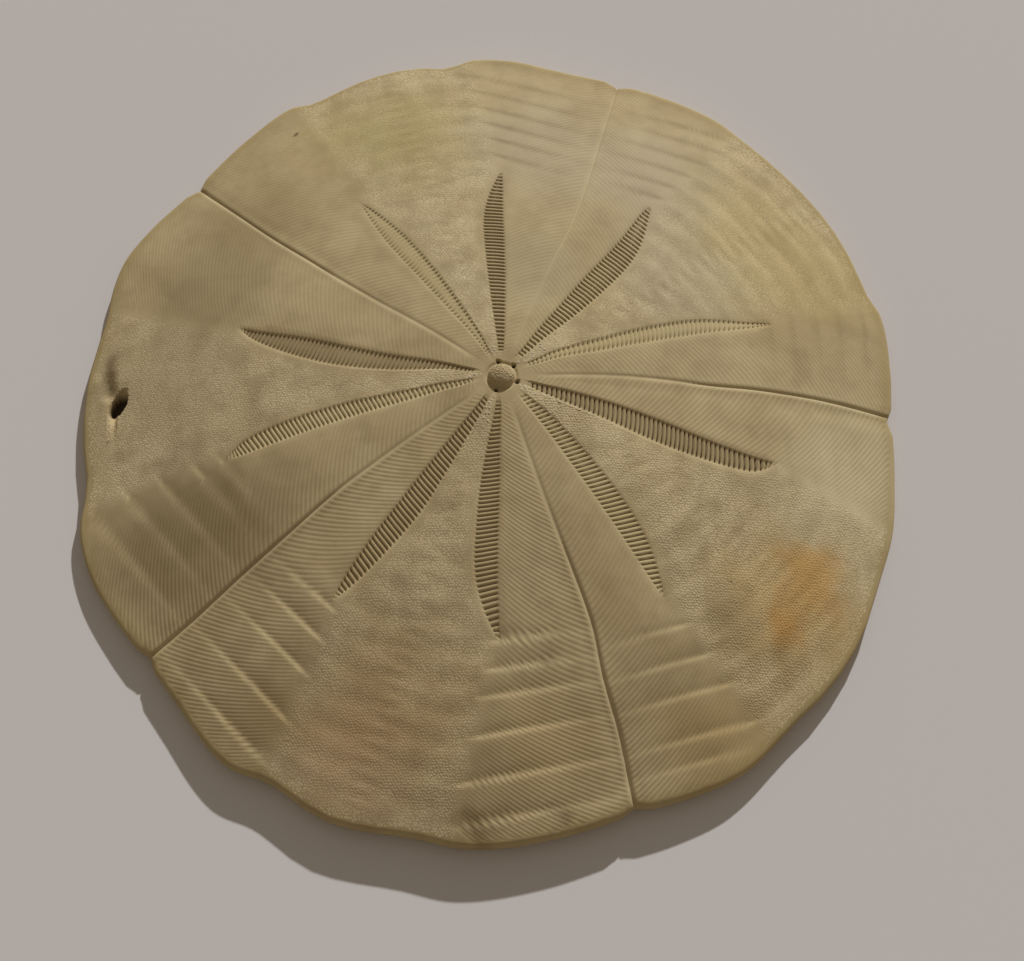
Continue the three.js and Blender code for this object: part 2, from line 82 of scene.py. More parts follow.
# Furrows, with the half before and after each. inner and outer are the bearings of a strip's two rows of
# pores at the strip stations, tip is where they meet, and edge is where their line meets the margin. ledges
# are distances from the button, relief their height, and lean how far they turn from the furrow to the
# border. slot is how open the strip's slits are, cut how deep they are, sunk how deep the strip lies, and
# pale how much of its bars is bleached. ridges is the height of the comb's ridges, slant turns the slits back
# against them, and steep turns the ridges near the button more.
FURROW_STATIONS = (5, 10, 15, 20, 25, 30, 35, 41)
STRIP_STATIONS = (5, 10, 15, 20, 25)
AMBULACRA = [
    dict(
        name="front", furrow=(5.8, 5.4, 3.8, 2.4, 2.1, 1.6, 0.6, -0.8),
        before=dict(
            inner=(-11.2, -11.7, -13.5, -15.2, -15.4), outer=(-20.4, -20.7, -21.3, -20.5, -18.4),
            tip=(-14.6, 26.3), edge=-17.7, ledges=(28.2, 30.7, 33.1, 35.1), relief=0.3,
            slot=1.0, sunk=0.11, pale=0.15, cut=1.2, ridges=1.0, slant=0.35,
        ),
        after=dict(
            inner=(26.1, 21.8, 20.1, 19, 18.1), outer=(32.5, 27.8, 25.5, 23.1, 19.6),
            tip=(18, 27.2), edge=17.4, ledges=(27.4, 29.7, 32.3, 34.6, 37.1), relief=0.45,
            slot=0.1, sunk=0.05, pale=0.8, cut=0.8, ridges=0.45, slant=0.5,
        ),
    ),
    dict(
        name="left_front", furrow=(72.1, 72, 71.3, 70.7, 71.2, 72.1, 72.8, 73.4),
        before=dict(
            inner=(58.7, 57.2, 56.6, 55.8, 56.4), outer=(50.4, 47.7, 47.9, 49.7, 54.6),
            tip=(56.1, 25.8), edge=54.8, ledges=(27.7, 29.7, 32, 34.4, 36.8, 39), relief=0.5,
            slot=0.9, sunk=0.08, pale=0.6, cut=0.72, ridges=0.35, slant=-0.1,
        ),
        after=dict(
            inner=(90, 90, 90.5, 91, 91), outer=(97.3, 97.2, 96.9, 95.9, 92),
            tip=(91, 25.3), edge=95.1, ledges=(27.3, 29.6, 31.7, 33.9, 36.3, 38.7), relief=0.5,
            slot=1.0, sunk=0.08, pale=0.3, cut=0.7, ridges=0.35, slant=0.22,
        ),
    ),
    dict(
        name="left_back", furrow=(140.7, 141.8, 143, 143.1, 142.6, 142.3, 141.7, 141),
        before=dict(
            inner=(120.5, 123.4, 124.8, 125.3, 124.4), outer=(114.7, 117.1, 118.7, 120.4, 122.9),
            tip=(123.9, 25.8), edge=122.4, ledges=(28.5, 31.4, 34.9, 38.2), relief=0.15,
            slot=0.1, sunk=0.05, pale=0.7, cut=0.75, ridges=0.3, slant=0.45,
        ),
        after=dict(
            inner=(162.9, 165, 165, 164.5, 164.7), outer=(167.8, 172, 172.2, 169.9, 166.7),
            tip=(164.3, 26.4), edge=163, ledges=(28.5, 31.4, 34.9, 38.2), relief=0.15,
            slot=0.7, sunk=0.1, pale=0.15, cut=0.9, ridges=0.5, slant=0.35,
        ),
    ),
    dict(
        name="right_back", furrow=(213.7, 214.9, 215.6, 216.3, 217.4, 218.1, 218.8, 219),
        before=dict(
            inner=(190.9, 193, 193.7, 194.5, 195.1), outer=(184.8, 187.5, 188.4, 189.9, 192.2),
            tip=(195.4, 26.5), edge=197, ledges=(26.0, 28.3, 31.6, 34.8, 38.4), relief=1.0, lean=-0.5,
            slot=0.8, sunk=0.05, pale=0.75, cut=0.6, ridges=0.9, slant=0.55,
        ),
        after=dict(
            inner=(232.9, 233, 233.3, 233.6, 234.4), outer=(241.1, 241.4, 241, 238.7, 236),
            tip=(235, 25.7), edge=240.2, ledges=(27.3, 29.9, 32.9, 36.8, 40.6), relief=1.0, lean=1.4,
            slot=1.0, sunk=0.12, pale=0.3, cut=0.57, ridges=0.6, slant=0.5, steep=1.15,
        ),
    ),
    dict(
        name="right_front", furrow=(287.9, 288.3, 288.7, 289.3, 289.4, 288.2, 287.9, 287),
        before=dict(
            inner=(266.9, 268.4, 268.7, 269, 269.8), outer=(259.7, 260.2, 261.8, 263.9, 269),
            tip=(270, 24.8), edge=265, ledges=(25.6, 28.1, 30.4, 33.6, 37.3, 40.8), relief=1.0, lean=1.6,
            slot=1.0, sunk=0.11, pale=0.35, cut=0.55, ridges=0.6, slant=0.38, steep=1.4,
        ),
        after=dict(
            inner=(309.8, 307.8, 306.7, 306, 305.2), outer=(319.5, 316.3, 313.7, 310.8, 306.5),
            tip=(305.2, 25.1), edge=304.9, ledges=(28.4, 31.5, 34.5, 38.2, 40.4), relief=0.9,
            slot=0.8, sunk=0.06, pale=0.75, cut=0.65, ridges=0.8, slant=0.6,
        ),
    ),
]
HALVES = [(ambulacrum, side) for ambulacrum in AMBULACRA for side in ("before", "after")]

# Fine relief. A pair is where a smooth change starts and ends, by distance from the button or from a strip's
# tip, or by share of the way to the border.
PETAL_PITCH = 0.555
RIDGE_PITCH = 0.462
RIDGE_HEIGHT = 0.026
RIDGE_AT_FURROW = 1.3
RIDGE_DROP = 0.8
PETAL_LEAN = 0.66
RIDGE_LEAN = 0.48
LEAN_CHANGE = (20, 32)
STEEP_FADE = (10, 31)
SPREAD_START = (1.4, 3.6)
RIDGE_CURL = 0.012
SLIT_DEPTH = 0.34
STRIP_START = (2.1, 3.2)
TIP_FADE = (-0.5, 0.9)
TIP_SLIDE = (-0.3, 3)
TIP_ROOM = 0.6
TIP_OVERRUN = 1.0
INNER_LINE_RETURN = 0.3
FURROW_DEPTH = 0.18
FURROW_PROFILE = (1.0, 0.35, -0.15, 0.0)
FURROW_START = (2.4, 6)
FURROW_GROWTH = (8, 28)
FURROW_AT_BUTTON = 0.4
LEDGE_RISE = 0.23
LEDGE_STEP = 0.55
LEDGE_POWER = 1.7
LEDGE_LIP = 0.35
LEDGE_HALF_ANGLE = 0.17
FIRST_PLATE = 2.6
LAST_PLATE = 3.4
LEDGE_AT_FURROW = 0.15
LEDGE_GROWTH = (0.0, 0.75)
LEDGE_FADE = (0.95, 1.2)
LEDGE_BULGE = 0.12
LEDGE_BULGE_PLACE = 0.86
LEDGE_BULGE_WIDTH = 0.12
COMB_SINK = 0.07
COMB_SINK_START = (22, 29)
COMB_SINK_FADE = (0.96, 1.15)
PLATE_PITCH = 2.7
PLATE_SWELL = 0.038
PLATE_MEAN = 0.6
PLATE_VARIES = 0.4
PLATE_START = (9, 14)
PLATE_BORDER = (1.03, 1.2)
PLATE_ZIGZAG = 0.16
PLATE_BOW = 0.22
PLATE_STAGGER = 0.25
PLATE_SEAM = 0.09

# Slow unevenness of the shell as waves: height, change of phase along x and along y, and phase
SWELL_WAVES = [(0.05, 0.31, 0.12, 0.6), (0.04, 0.17, -0.36, 2.1), (0.025, 0.66, 0.47, 4.0)]
SWELL_START = (2, 6)

# The button, the pits round it and the vent near the back edge
BUTTON_RADIUS = 1.27
BUTTON_SHIFT = (-0.12, 0.26)
BUTTON_TILT = 0.14
BUTTON_LEAN = 30
BUTTON_RISE = 0.4
BUTTON_HOLLOW = 0.2
BUTTON_HOLLOW_REACH = (1.3, 4.0)
BUTTON_SHIFT_FADE = (1.6, 4.5)
BUTTON_PORES = (0.9, 1.02)
MOAT_DEPTH = 0.16
MOAT_OFFSET = 0.12
MOAT_WIDTH = 0.16
GONOPORES = (44, 103, 252, 337)
GONOPORE_RING = 1.62
GONOPORE_RADIUS = 0.21
GONOPORE_DEPTH = 0.5
GONOPORE_WALL = (0.4, 1.25)
VENT_BEARING = 180
VENT_DISTANCE = 37.9
VENT_TURN = 66
VENT_HALF_LENGTH = 1.4
VENT_HALF_WIDTH = 0.8
VENT_DEPTH = 1.35
VENT_WALL = (0.72, 1.12)
VENT_TROUGH_DEPTH = 0.45
VENT_TROUGH_OUT = 0.7
VENT_TROUGH_BEND = 0.28
VENT_TROUGH_WIDTH = 0.7
VENT_TROUGH_START = (0, 1.4)
VENT_TROUGH_END = (3.0, 5.2)

# The underside
HEEL_INSET = 0.55
REST_INNER_INSET = 5
UNDERSIDE_HOLLOW = 0.7
MOUTH_RADIUS = 2.3
MOUTH_DEPTH = 2.6
MOUTH_WALL = (0.55, 1.1)
FOOD_GROOVE_DEPTH = 0.3
FOOD_GROOVE_HALF_WIDTH = 0.5
FOOD_GROOVE_START = (1, 3)
FOOD_GROOVE_EASE = 6

# The knobs of the grained areas. Each area has its share of their height, and they are lower at the edge.
KNOB_FIELD = 45
KNOB_SPACING = 0.29
KNOB_ROW_SHARE = 0.866
KNOB_JITTER = 0.25
KNOB_RADIUS = 0.13
KNOB_HEIGHT = 0.02
KNOB_AREA_SHARES = (0.7, 0.75, 1.1, 1.05, 1.75)
KNOB_AT_EDGE = 0.35
KNOB_EDGE_FADE = (0.5, 3.5)
KNOB_SINK = 0.04
KNOB_SIZES = (0.8, 1.15)
KNOB_RISES = (0.6, 1.3)
KNOB_BORDER_ROOM = 0.2
KNOB_AT_BORDER = 0.5
KNOB_BORDER_FADE = (0.2, 1.4)
KNOB_NEAR_BUTTON = 1.3
KNOB_BUTTON_DROP = 0.8
KNOB_BUTTON_FADE = (6, 16)
KNOB_BUTTON_ROOM = 1.6
KNOB_EDGE_ROOM = 0.6
KNOB_VENT_ROOM = 1.15
KNOB_PIT_ROOM = 0.36
GLASSY_REACH = (2.5, 6.5)
GLASSY_SHARE = 0.2
GLASSY_SIZE = 1.4
GLASSY_RISE = 3.5
KNOB_SIDES = 5
KNOB_SEED = 100
RAY_HEADROOM = 5

# The grid: columns beside a furrow, a strip and the vent are set by millimetres from it, the rest by shares
# of a gap. The last value of a wave is for the rows over the button, which have none.
STATION_STEP = 0.5
STATIONS = np.arange(0, 47, STATION_STEP)
FURROW_OFFSETS = (0.14, 0.3, 0.55)
FURROW_SHARES = (0.12, 0.25, 0.4)
FURROW_COMBS = (0.0, 0.35, 1.0)
LEAST_REACH = 1.2
COMB_COLUMNS = 21
STRIP_LIP = 0.3
PORE_EDGE = 0.14
FULL_STRIP_WIDTH = 1.0
LEAST_LIP = 0.12
MERGED_COLUMNS = 6
PLAIN_SHARES = (0.035, 0.08, 0.16, 0.27, 0.39, 0.5, 0.61, 0.73, 0.84, 0.92, 0.965)
BACK_SHARES = (0.035, 0.08, 0.18, 0.32, 0.68, 0.82, 0.92, 0.965)
VENT_OFFSETS = (-4.2, -3.0, -2.0, -1.4, -0.95, -0.5, 0, 0.5, 0.95, 1.4, 2.0)
VENT_SPAN = 34.0
VENT_AREA = 2
ROW_PHASES = (0.0, 0.22, 0.78)
COMB_WAVE = (-1.0, 0.7, 0.7, 0.0)
SLIT_WAVE = (1.0, 0.0, 0.0, 0.0)
FIRST_ROW = 0.14
PATTERN_START = 2.3
PATTERN_FADE = 1.0
PETAL_END = 31.0
ROWS_END = 53.0
BUTTON_ROWS = 19
EDGE_ROWS = 8
EDGE_GAP = 0.08
UNDERSIDE_ROWS = 22
UNDERSIDE_SPACING = 0.8
FAR_OUT = 99.0

# Stains: colour, bearing, distance from the button, radius and strength. The two dark patches beside the vent
# are painted shade in its hollow, not stains.
STAINS_AND_SHADE = [
    ("#CDB878", 34, 31, 10, 0.4), ("#CDB878", 24, 36, 7, 0.35), ("#D2BC80", 50, 33, 6, 0.3),
    ("#B6A76C", 108, 33, 9, 0.5), ("#B6A76C", 118, 37, 7, 0.35), ("#B09867", 138, 34, 9, 0.3),
    ("#D2B06C", 321, 34, 8, 0.45), ("#CC9848", 327, 34.4, 4.2, 0.55), ("#C8903E", 319, 35, 2.6, 0.6),
    ("#8E6E3C", 315, 36.4, 2.6, 0.45), ("#5C4A2C", 317.8, 30.2, 0.17, 0.85), ("#8A7556", 314, 31, 3, 0.35),
    ("#E0D4AC", 348, 34, 9, 0.55), ("#D2B888", 277, 35, 6, 0.5), ("#D0AE88", 250, 38, 7, 0.5),
    ("#8C7B58", 148, 33, 9, 0.35), ("#C8BEA4", 60, 30, 9, 0.5), ("#C8BEA4", 84, 30, 9, 0.4),
    ("#B4A888", 76, 14, 6, 0.45), ("#C8BEA2", 38, 22, 8, 0.4),
    ("#C4A468", 300, 39, 7, 0.35), ("#B89360", 254, 33, 9, 0.35), ("#AC8C58", 240, 38, 5, 0.3),
    ("#5C4C2C", 267, 41.2, 1.6, 0.5), ("#5C4C2C", 278, 41.2, 1.3, 0.4), ("#5C4A2C", 124, 39.6, 0.5, 0.9),
    ("#806F4E", 206, 31, 10, 0.65), ("#9A8862", 160, 32, 8, 0.4), ("#A29472", 176, 33, 8, 0.3),
    # Painted shade: the dark of the hollow that runs from the vent along the edge
    ("#5C4C2C", 176.3, 39.4, 1.6, 0.55), ("#5C4C2C", 174, 39.8, 1.2, 0.45),
]

# How far a patch's soft edge starts and ends, as shares of its radius, and how far its outline is pushed
STAIN_AND_SHADE_EDGE = (0.2, 1.2)
STAIN_AND_SHADE_PUSH = 7

# Tints of the skin's forms: mask, strength and colour
MASK_TINTS = [
    # The seam tint darkens the ledges' troughs as silt and painted shade, the groove tint darkens the comb
    # grooves as painted shade, and the plate tint darkens the plates' hollows as dirt and painted shade
    ("seam", 0.5, "#7E6E46"), ("groove", 0.2, "#9A8660"), ("plate_dirt_and_shade", 0.2, "#9A855C"),
    # The furrow tint is a painted highlight along the furrows, and the dusty tint painted shade in the sunken
    # strips; the bleached tint is the bars' own paler colour
    ("furrow", 0.35, "#DCCDA4"), ("bleached", 0.6, "#DCCA98"), ("dusty", 0.5, "#8C764E"),
    # Painted shade: the slit and pit tints paint near black the shade inside the slits, the small pits, the
    # vent and the mouth
    ("slit", 0.75, "#463820"), ("rim", 0.35, "#A08C54"), ("pit", 0.92, "#241C12"),
]
# How deep a ledge's trough is where its silt and painted shade are full
SEAM_TINT_DEPTH = 0.2
# How deep the vent is where its painted shade starts and where it is full
VENT_TINT_DEPTHS = (0.5, 1.2)
# How much of the furrow's depth sets its painted highlight
FURROW_TINT_SHARE = 1.5
# Painted shade in the food grooves, as a share of the mouth's
FOOD_GROOVE_TINT = 0.3
RIM_TINT_WIDTH = 1.0

# Mottling and silt: size, detail, roughness, and the gain and base that spread the pattern's values
BODY_PATTERNS = [(7, 4.0, 0.6, 1.8, -0.4), (2.6, 3.0, 0.55, 4.0, -1.75)]

# Sizes of the calcite's other patterns
STAIN_AND_SHADE_PUSH_SIZE = 5
GRAIN_SIZE = 0.5
WEAVE_SIZE = 0.12
WEAVE_DEPTH = 0.02
PORE_SIZE = 0.17
PORE_DEPTH = 0.12

# The floor
FLOOR_HALF = 1.5

# The photograph's camera: places in the shell's frame, about the button, above the floor
CAMERA_EYE = (1.75, -81.05, 151.55)
CAMERA_TARGET = (0.96, -7.70, 1.85)
CAMERA_LENS = 60.71
SENSOR_WIDTH = 36

# The light: a sun by its bearing and height in degrees, and the sky
SUN_BEARING = 72
SUN_HEIGHT = 24
SUN_WIDTH = 1.5
SUN_STRENGTH = 2.83
SKY_STRENGTH = 0.215


def smoothstep(low, high, x):
    """0 below low, 1 above high, and 3t^2 - 2t^3 between them."""
    t = np.clip((np.asarray(x, float) - low) / (high - low), 0, 1)
    return t * t * (3 - 2 * t)


def rising(least, span, x):
    """least below the span, 1 above it, and a smooth step between."""
    return least + (1 - least) * smoothstep(*span, x)


def flat_place(r, bearing):
    """The x and y of distances and bearings from the button."""
    angle = np.radians(bearing)
    return r * np.cos(angle), r * np.sin(angle)


def pit_places():
    """The x and y of the four small pits round the button."""
    angles = [math.radians(bearing) for bearing in GONOPORES]
    return [(GONOPORE_RING * math.cos(angle), GONOPORE_RING * math.sin(angle)) for angle in angles]


def through(points, x):
    """Smooth curve through (x, y) pairs: cubic pieces whose slope at a point is its neighbours' chord's."""
    xs, ys = np.array(points, float).T
    slope = np.empty_like(ys)
    slope[1:-1] = (ys[2:] - ys[:-2]) / (xs[2:] - xs[:-2])
    slope[0] = (ys[1] - ys[0]) / (xs[1] - xs[0])
    slope[-1] = (ys[-1] - ys[-2]) / (xs[-1] - xs[-2])
    x = np.clip(x, xs[0], xs[-1])
    k = np.clip(np.searchsorted(xs, x, side="right") - 1, 0, len(xs) - 2)
    span = xs[k + 1] - xs[k]
    t = (x - xs[k]) / span
    ease = t * t * (3 - 2 * t)
    leave = slope[k] * span * t * (1 - t) ** 2
    arrive = slope[k + 1] * span * t * t * (1 - t)
    return ys[k] * (1 - ease) + ys[k + 1] * ease + leave - arrive


def edge_radius(bearing):
    """Distance of the edge from the button: the smooth margin less a V notch where each furrow ends."""
    loop = [(b - 360, r) for b, r in MARGIN[-3:]] + MARGIN + [(b + 360, r) for b, r in MARGIN[:3]]
    turned = np.mod(bearing, 360)
    plain = through(loop, turned)
    notch = 0
    for ambulacrum in AMBULACRA:
        away = np.mod(turned - ambulacrum["furrow"][-1] + 180, 360) - 180
        along = np.abs(np.radians(away)) * plain
        notch = notch + NOTCH_DEPTH * np.clip(1 - along / NOTCH_HALF_WIDTH, 0, 1)
    return plain - notch


def edge_thickness(bearing):
    """The edge is thinnest at the front and the back and thickest at the two sides."""
    return EDGE_AT_ENDS + (EDGE_AT_SIDES - EDGE_AT_ENDS) * np.sin(np.radians(bearing)) ** 2


def dome_height(r, bearing):
    """Height of the dome: from the apex it falls by a share of u and the rest of u^power, u = r / edge."""
    u = np.clip(r / (edge_radius(bearing) - SHOULDER_INSET), 0, 1)
    fall = CONE_SHARE * u + (1 - CONE_SHARE) * u**DOME_POWER
    return APEX_HEIGHT - (APEX_HEIGHT - edge_thickness(bearing)) * fall


def furrow_line(ambulacrum, r=STATIONS):
    """Bearing of a furrow at each distance from the button."""
    return through(list(zip(FURROW_STATIONS, ambulacrum["furrow"])), r)


def strip_line(ambulacrum, half, side):
    """Bearing of a strip's inner or outer row of pores; past its tip the lines part again to the margin."""
    tip_bearing, tip_radius = half["tip"]
    points = [(at, b) for at, b in zip(STRIP_STATIONS, half[side]) if at < tip_radius - TIP_ROOM]
    meeting = tip_radius + TIP_OVERRUN
    inside = through(points + [(meeting, tip_bearing)], STATIONS)
    furrow = ambulacrum["furrow"][-1]
    back = 0 if side == "outer" else INNER_LINE_RETURN
    at_margin = half["edge"] + back * (furrow - half["edge"])
    share = (STATIONS - meeting) / (edge_radius(half["edge"]) - meeting)
    outside = tip_bearing + (at_margin - tip_bearing) * share
    return np.where(STATIONS <= meeting, inside, outside)


def half_columns(ambulacrum, half, sign):
    """Columns of one half ambulacrum, from beside the furrow to past its strip, as tables over the stations.

    Each is a dict of its angle away from the furrow and its shares in the combs, the slits and the trough.
    coarse columns are in every row, petal ones in the rows of the petals, and all of them in the outer rows.
    """
    furrow = furrow_line(ambulacrum)
    inner = sign * (strip_line(ambulacrum, half, "inner") - furrow)
    outer = sign * (strip_line(ambulacrum, half, "outer") - furrow)
    reach = np.maximum(STATIONS, LEAST_REACH)
    beyond_tip = STATIONS - half["tip"][1]
    past = smoothstep(*TIP_FADE, beyond_tip)
    shown = smoothstep(*STRIP_START, STATIONS) * (1 - past)
    width = np.radians(outer - inner) * reach
    tight = np.clip(width / FULL_STRIP_WIDTH, LEAST_LIP, 1)
    made = []

    def column(away, comb, slit=0.0, slot=0.0, trough=0.0, groove=0.0, coarse=False, petal=True):
        made.append(dict(
            away=away, comb=comb + 0 * reach, slit=slit * shown, slot=slot,
            trough=trough * shown, groove=groove, coarse=coarse, petal=petal,
        ))

    for i, (offset, share) in enumerate(zip(FURROW_OFFSETS, FURROW_SHARES)):
        away = np.minimum(np.degrees(offset / reach), share * inner)
        column(away, FURROW_COMBS[i], groove=FURROW_PROFILE[i + 1], coarse=i < 2)
    first = made[-1]["away"]
    last = inner - np.degrees(STRIP_LIP / reach) * tight
    for i in range(COMB_COLUMNS):
        place = (i + 1) / (COMB_COLUMNS + 1)
        column(first + (last - first) * place, 1.0, petal=i % 2 == 1, coarse=i % 7 == 5)
    column(last, 0.5 + 0.5 * past)
    lip = np.degrees(PORE_EDGE / reach) * tight
    column(inner - lip, past, slit=0.12, trough=0.5)
    column(inner, past, slit=1.0, trough=1.0, coarse=True)
    column(inner + lip, past, slit=0.85, slot=0.7, trough=1.0)
    column((inner + outer) / 2, past, slit=0.68, slot=1.0, trough=1.0)
    column(outer - lip, 0.9 * past, slit=0.85, slot=0.5, trough=1.0)
    column(outer, 0.75 * past, slit=1.1, trough=1.0, coarse=True)
    column(outer + lip, 0.5 * past, slit=0.12, trough=0.5)
    column(outer + np.degrees(STRIP_LIP / reach) * tight, 0.25 * past)

    slide = smoothstep(*TIP_SLIDE, beyond_tip)
    steep = 1 + (half.get("steep", 1) - 1) * (1 - smoothstep(*STEEP_FADE, STATIONS))
    start_column = len(FURROW_OFFSETS) + COMB_COLUMNS
    last_comb = made[start_column - 1]["away"]
    for i in range(MERGED_COLUMNS):
        entry = made[start_column + i]
        even = last_comb + (outer - last_comb) * (i + 1) / (MERGED_COLUMNS + 1)
        entry["away"] = entry["away"] * (1 - slide) + even * slide
    for entry in made:
        inside_strip = np.maximum(entry["away"] - inner + lip, 0)
        spread = steep * entry["away"] - (steep + half["slant"]) * inside_strip * (1 - past)
        entry["spread"] = np.radians(spread) * smoothstep(*SPREAD_START, STATIONS)
        entry["bearing"] = furrow + sign * entry["away"]
        entry["border"] = entry["away"] / outer
    return made


def plain_shares(index):
    """Where the columns stand across an interambulacrum; the back one has a cluster of them over the vent."""
    if index != VENT_AREA:
        return PLAIN_SHARES
    return sorted(BACK_SHARES + tuple(0.5 + offset / VENT_SPAN for offset in VENT_OFFSETS))


def all_columns():
    """Every column round the shell in order of bearing, as arrays of shape (columns, stations)."""
    zero = 0 * STATIONS
    sides = []
    for ambulacrum in AMBULACRA:
        before = half_columns(ambulacrum, ambulacrum["before"], -1)
        after = half_columns(ambulacrum, ambulacrum["after"], 1)
        sides.append((before, after))
    plain = dict(comb=zero, slit=zero, slot=0.0, trough=zero, groove=0.0, petal=True)
    made = []
    for k, (before, after) in enumerate(sides):
        made.append(dict(
            plain, bearing=furrow_line(AMBULACRA[k]), spread=zero, border=zero, groove=FURROW_PROFILE[0],
            half=2 * k, across=-1.0, coarse=True,
        ))
        made += [dict(entry, half=2 * k + 1, across=-1.0) for entry in after]
        turn = 360 if k == len(sides) - 1 else 0
        following = sides[(k + 1) % len(sides)][0]
        next_half = (2 * k + 2) % len(HALVES)
        left, right = after[-1], following[-1]
        for i, share in enumerate(plain_shares(k)):
            near = left if share < 0.5 else right
            half = 2 * k + 1 if share < 0.5 else next_half
            bearing = left["bearing"] * (1 - share) + (right["bearing"] + turn) * share
            furrow = furrow_line(HALVES[half][0]) + (turn if share >= 0.5 else 0)
            outer = np.maximum(np.abs(near["away"] / near["border"]), 1e-6)
            made.append(dict(
                plain, bearing=bearing, spread=left["spread"] * (1 - share) + right["spread"] * share,
                border=np.abs(bearing - furrow) / outer, half=half, across=2 * share - 1, coarse=i % 2 == 0,
            ))
        for entry in reversed(following):
            made.append(dict(entry, half=next_half, across=1.0, bearing=entry["bearing"] + turn))
    keys = ("bearing", "spread", "comb", "slit", "trough", "border", "slot", "half", "across", "groove")
    columns = {key: np.array([entry[key] for entry in made]) for key in keys}
    columns["place"] = np.arange(len(made))
    chosen = {key: np.array([entry[key] for entry in made]) for key in ("coarse", "petal")}
    chosen["petal"] |= chosen["coarse"]
    return columns, chosen


def pick(columns, chosen):
    """The columns for which chosen is true."""
    return {key: values[chosen] for key, values in columns.items()}


def read_table(table, r):
    """Values of each column's table at its own radii, straight between stations. r is (rows, columns)."""
    place = np.clip(r / STATION_STEP, 0, len(STATIONS) - 1.001)
    k = place.astype(int)
    t = place - k
    column = np.arange(table.shape[0])[None, :]
    return table[column, k] * (1 - t) + table[column, k + 1] * t


def row_marks():
    """Row values S and their wave numbers: close even rows over the button, then three rows to a ridge."""
    button = np.linspace(FIRST_ROW, PATTERN_START, BUTTON_ROWS, endpoint=False)
    in_petals = np.arange(PATTERN_START, PETAL_END, PETAL_PITCH)
    further_out = np.arange(in_petals[-1] + PETAL_PITCH, ROWS_END, RIDGE_PITCH)
    marks = (in_petals[:, None] + PETAL_PITCH * np.array(ROW_PHASES)).ravel()
    marks = np.concatenate([marks, (further_out[:, None] + RIDGE_PITCH * np.array(ROW_PHASES)).ravel()])
    ridges = len(in_petals) + len(further_out)
    wave = np.concatenate([np.full(len(button), -1), np.tile(np.arange(len(ROW_PHASES)), ridges)])
    return np.concatenate([button, marks]), wave


def row_radii(marks, columns):
    """Radius of each row on each column: the r at which r + lean d + curl d^2 = S, where d = r spread."""
    d = STATIONS * columns["spread"]
    lean = PETAL_LEAN + (RIDGE_LEAN - PETAL_LEAN) * smoothstep(*LEAN_CHANGE, STATIONS)
    reach = np.maximum.accumulate(STATIONS + lean * d + RIDGE_CURL * d * np.abs(d), axis=1)
    return np.stack([np.interp(marks, line, STATIONS, right=FAR_OUT) for line in reach], axis=1)


def ledge_relief(r, bearing, border, half_index):
    """Plates lean down outwards to a seam, past which the next one's lip stands up; both sides fade.

    border is 0 on the furrow and 1 on the comb's outer border. All four arrays have one shape.
    """
    out = np.zeros_like(r)
    for index, (ambulacrum, side) in enumerate(HALVES):
        here = half_index == index
        if not here.any():
            continue
        half = ambulacrum[side]
        radius, place = r[here], border[here]
        away = np.radians(np.mod(bearing[here] - furrow_line(ambulacrum, radius) + 180, 360) - 180)
        along = radius * np.cos(away) / math.cos(LEDGE_HALF_ANGLE) + half.get("lean", 0) * (place - 0.5)
        ledges = half["ledges"]
        stops = np.array([ledges[0] - FIRST_PLATE, *ledges, ledges[-1] + LAST_PLATE])
        k = np.clip(np.searchsorted(stops, along, side="right") - 1, 0, len(stops) - 2)
        span = stops[k + 1] - stops[k]
        t = np.clip((along - stops[k]) / span, 0, 1)
        lean = LEDGE_LIP - t**LEDGE_POWER
        rise = smoothstep(1 - LEDGE_STEP / span, 1, t)
        shape = lean * (1 - rise) + LEDGE_LIP * rise
        shape = np.where(k == 0, shape * t, shape)
        shape = np.where(along < stops[0], 0, shape)
        weight = rising(LEDGE_AT_FURROW, LEDGE_GROWTH, place) * (1 - smoothstep(*LEDGE_FADE, place))
        weight *= 1 + LEDGE_BULGE * np.exp(-(((place - LEDGE_BULGE_PLACE) / LEDGE_BULGE_WIDTH) ** 2))
        out[here] = LEDGE_RISE * half["relief"] * weight * shape
    return out


def comb_sink(r, border):
    """Outside the petals the combed areas lie a little below the grained ones."""
    return -COMB_SINK * smoothstep(*COMB_SINK_START, r) * (1 - smoothstep(*COMB_SINK_FADE, border))


def plate_wave(r, across, border):
    """Plates of an interambulacrum, in two columns that meet on a zigzag: 1 on a seam and -1 between."""
    grown = r / PLATE_PITCH
    inside = smoothstep(*PLATE_BORDER, border) * smoothstep(*PLATE_START, r)
    zigzag = PLATE_ZIGZAG * (np.abs(np.mod(grown, 1) * 2 - 1) * 2 - 1)
    from_middle = np.abs(across - zigzag)
    side = np.sign(across - zigzag)
    bow = PLATE_BOW * (1 - (2 * np.clip(from_middle, 0, 1) - 1) ** 2)
    cross = np.cos(2 * np.pi * (grown + PLATE_STAGGER * side - bow))
    middle = np.exp(-((from_middle / PLATE_SEAM) ** 2))
    return inside * (cross * (1 - middle) + middle)


def swell(x, y):
    """Slow unevenness of the grown shell, a few hundredths of a millimetre, as a sum of slanted waves."""
    return sum(height * np.sin(by_x * x + by_y * y + phase) for height, by_x, by_y, phase in SWELL_WAVES)


def vent_offsets(x, y):
    """Distances from the vent's middle, outwards and towards the left side."""
    angle = math.radians(VENT_BEARING)
    out = x * math.cos(angle) + y * math.sin(angle) - VENT_DISTANCE
    return out, x * math.sin(angle) - y * math.cos(angle)


